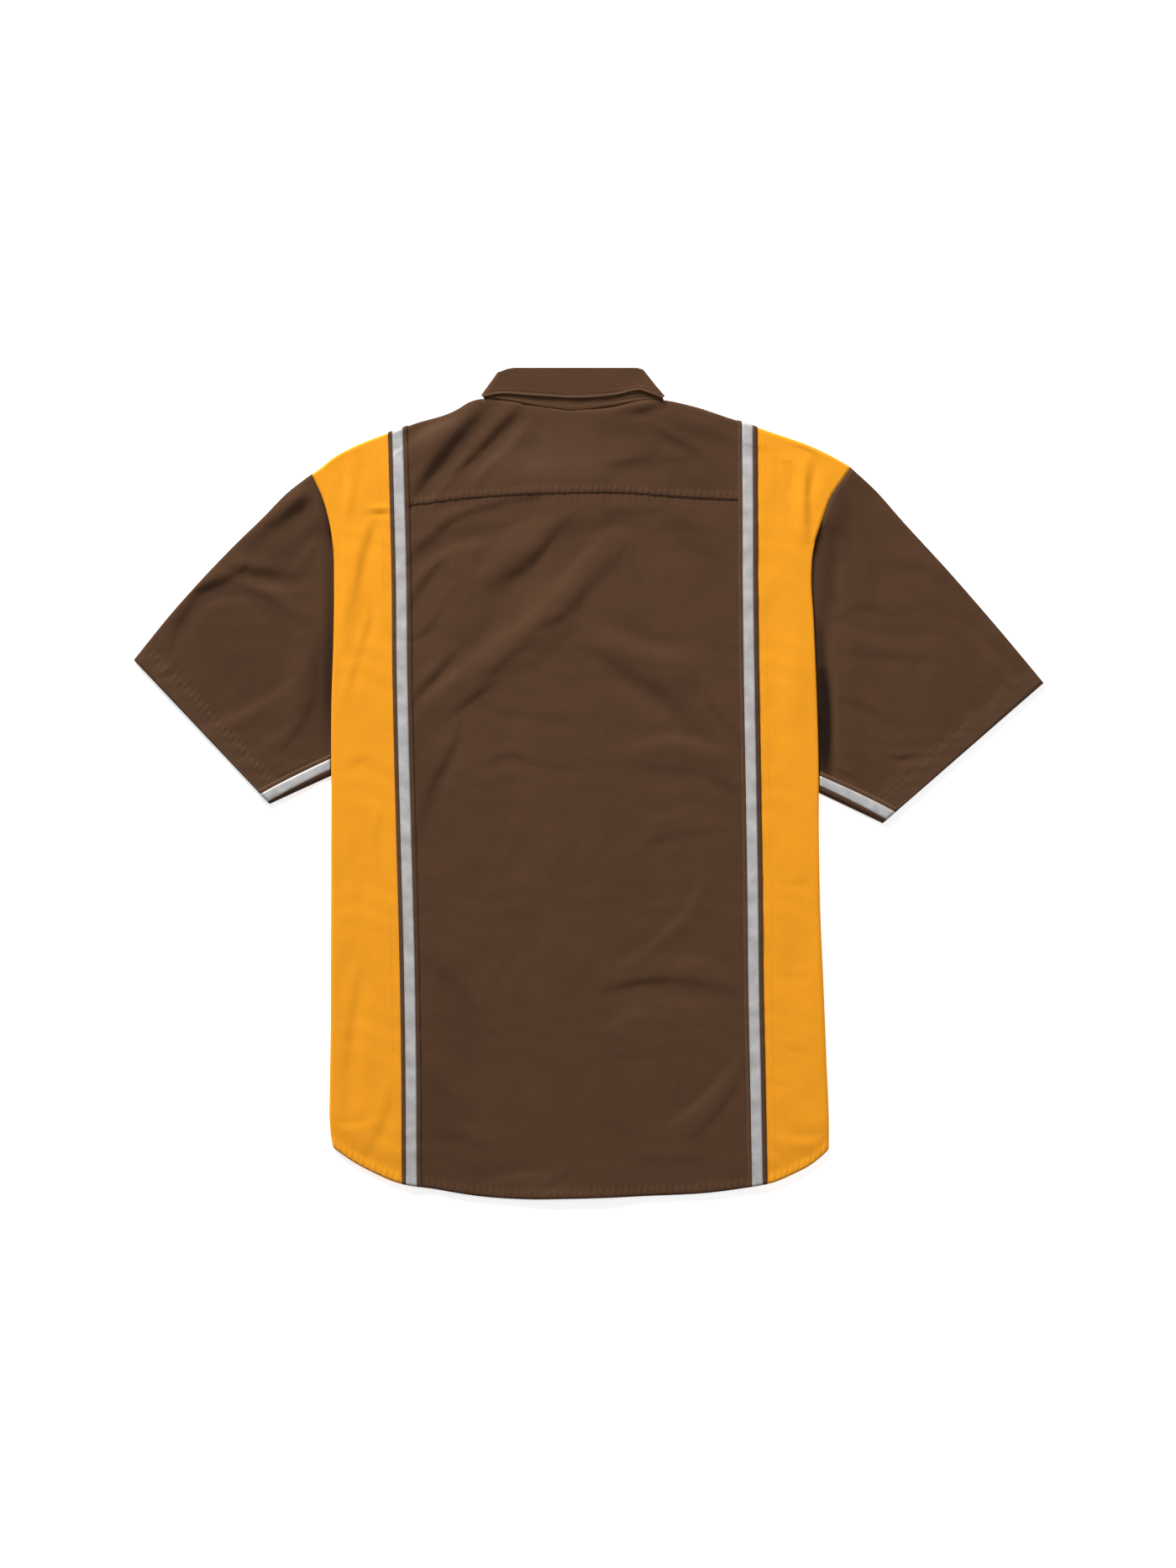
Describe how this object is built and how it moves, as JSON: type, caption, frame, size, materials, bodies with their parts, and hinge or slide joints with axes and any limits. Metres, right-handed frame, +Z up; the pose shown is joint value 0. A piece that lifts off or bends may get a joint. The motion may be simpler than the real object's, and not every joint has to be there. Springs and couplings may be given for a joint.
{
  "type": "work shirt",
  "caption": "Short-sleeved colour-blocked work shirt laid flat, back up, with a folded shirt collar and reflective tape down both back panels.",
  "frame": {"origin": "on the surface the shirt lies on, under the middle of its outline", "axes": "+X across the shirt towards the wearer's right sleeve, +Y towards the collar, +Z up through the back"},
  "size_m": [0.8878, 0.8108, 0.0085],
  "materials": {
    "brown_cloth": "matt brown cotton twill",
    "yellow_cloth": "matt yellow-orange cotton twill",
    "brown_tape": "brown woven tape, slightly smoother than the cloth",
    "reflective_film": "silver-grey reflective strip with a soft satin sheen",
    "button_horn": "dark brown pressed button"
  },
  "bodies": {
    "root": {"back_panel": "brown_cloth", "back_yoke": "brown_cloth", "sleeve_left": "brown_cloth", "sleeve_right": "brown_cloth", "front_left": "brown_cloth", "front_right": "brown_cloth", "placket": "brown_cloth", "collar_stand": "brown_cloth", "collar_leaf": "brown_cloth", "side_panel_left": "yellow_cloth", "side_panel_right": "yellow_cloth", "tape_left": "brown_tape", "tape_right": "brown_tape", "sleeve_tape_left": "brown_tape", "sleeve_tape_right": "brown_tape", "reflective_left": "reflective_film", "reflective_right": "reflective_film", "sleeve_reflective_left": "reflective_film", "sleeve_reflective_right": "reflective_film", "button_1": "button_horn", "button_2": "button_horn", "button_3": "button_horn", "button_4": "button_horn", "button_5": "button_horn", "button_6": "button_horn", "button_7": "button_horn"}
  },
  "joints": []
}
